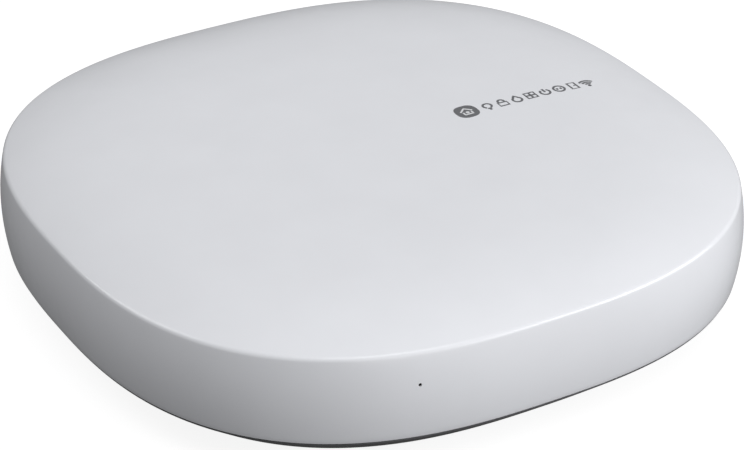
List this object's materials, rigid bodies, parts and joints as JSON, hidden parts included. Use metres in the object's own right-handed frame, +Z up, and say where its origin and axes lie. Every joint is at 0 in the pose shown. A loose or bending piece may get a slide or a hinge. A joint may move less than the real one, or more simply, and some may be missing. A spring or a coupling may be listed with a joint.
{
  "type": "smart home hub",
  "caption": "Low rounded-square smart home hub with a shallow domed white housing, grey base, pinhole status light and a recessed rear port panel with a reset button.",
  "frame": {"origin": "on the table, under the centre of the body's rounded-square outline", "axes": "+Z up; the front with the status light faces -Y; the ports face +Y; +X is to the right seen from the front"},
  "size_m": [0.127, 0.1267, 0.028],
  "materials": {
    "white_plastic": "fine satin moulded texture",
    "grey_plastic": "fine matt moulded texture",
    "port_plastic": "fine matt moulded texture",
    "foot_rubber": "matt",
    "label_film": "satin polyester film",
    "screw_steel": "zinc plated",
    "circuit_board": "solder mask",
    "chip_black": "moulded epoxy",
    "tinned_steel": "tin plated sheet",
    "thermal_pad": "soft silicone",
    "tape": "acrylic thermal tape",
    "heat_sink_alloy": "anodised",
    "jack_plastic": "glass-filled nylon",
    "gold_contact": "gold plated",
    "jack_pin_metal": "nickel plated",
    "button_plastic": "moulded",
    "ivory_plastic": "moulded",
    "clear_plastic": "clear acrylic",
    "smoked_plastic": "smoked acrylic",
    "antenna_board": "laminate",
    "cable_jacket": "smooth",
    "ferrite": "pressed powder",
    "capacitor_can": "drawn can",
    "ceramic_tan": "ceramic"
  },
  "bodies": {
    "root": {"top_housing": "white_plastic", "bottom_cover": "grey_plastic", "port_bezel": "port_plastic", "rubber_feet": "foot_rubber", "rating_label": "label_film", "case_screws": "screw_steel", "main_board": "circuit_board", "board_screws": "screw_steel", "application_processor": "chip_black", "memory_chips": "chip_black", "flash_chip": "chip_black", "power_manager": "chip_black", "shield_frame": "tinned_steel", "shield_cover": "tinned_steel", "thermal_pad": "thermal_pad", "heat_sink_tape": "tape", "heat_sink": "heat_sink_alloy", "ethernet_housing": "jack_plastic", "ethernet_shell": "tinned_steel", "ethernet_contacts": "gold_contact", "ethernet_transformer": "chip_black", "ethernet_controller": "chip_black", "usb_housing": "jack_plastic", "usb_shell": "tinned_steel", "usb_contacts": "gold_contact", "power_jack_housing": "jack_plastic", "power_jack_pin": "jack_pin_metal", "power_jack_spring": "tinned_steel", "reset_switch_case": "jack_plastic", "reset_switch_dome": "tinned_steel", "status_led": "ivory_plastic", "light_guide": "clear_plastic", "status_lens": "smoked_plastic", "light_shroud": "foot_rubber", "wifi_module_board": "circuit_board", "wifi_module_shield": "tinned_steel", "wifi_antennas": "antenna_board", "antenna_sockets": "gold_contact", "antenna_plugs": "tinned_steel", "antenna_cables": "cable_jacket", "zigbee_radio": "chip_black", "zigbee_antenna": "tinned_steel", "zwave_module_board": "circuit_board", "zwave_module_shield": "tinned_steel", "zwave_antenna": "tinned_steel", "security_chip": "chip_black", "power_inductors": "ferrite", "voltage_regulators": "chip_black", "polymer_capacitors": "capacitor_can", "ceramic_capacitors": "ceramic_tan", "chip_resistors": "chip_black", "crystals": "tinned_steel"},
    "reset": {"reset_button": "button_plastic", "reset_switch_plunger": "ivory_plastic"}
  },
  "joints": [
    {"name": "reset_press", "type": "slide", "parent": "root", "child": "reset", "axis": [0, -1, 0], "range_m": [0, 0.0005], "stiffness_N_per_m": 1500, "springref_m": -0.0003}
  ]
}
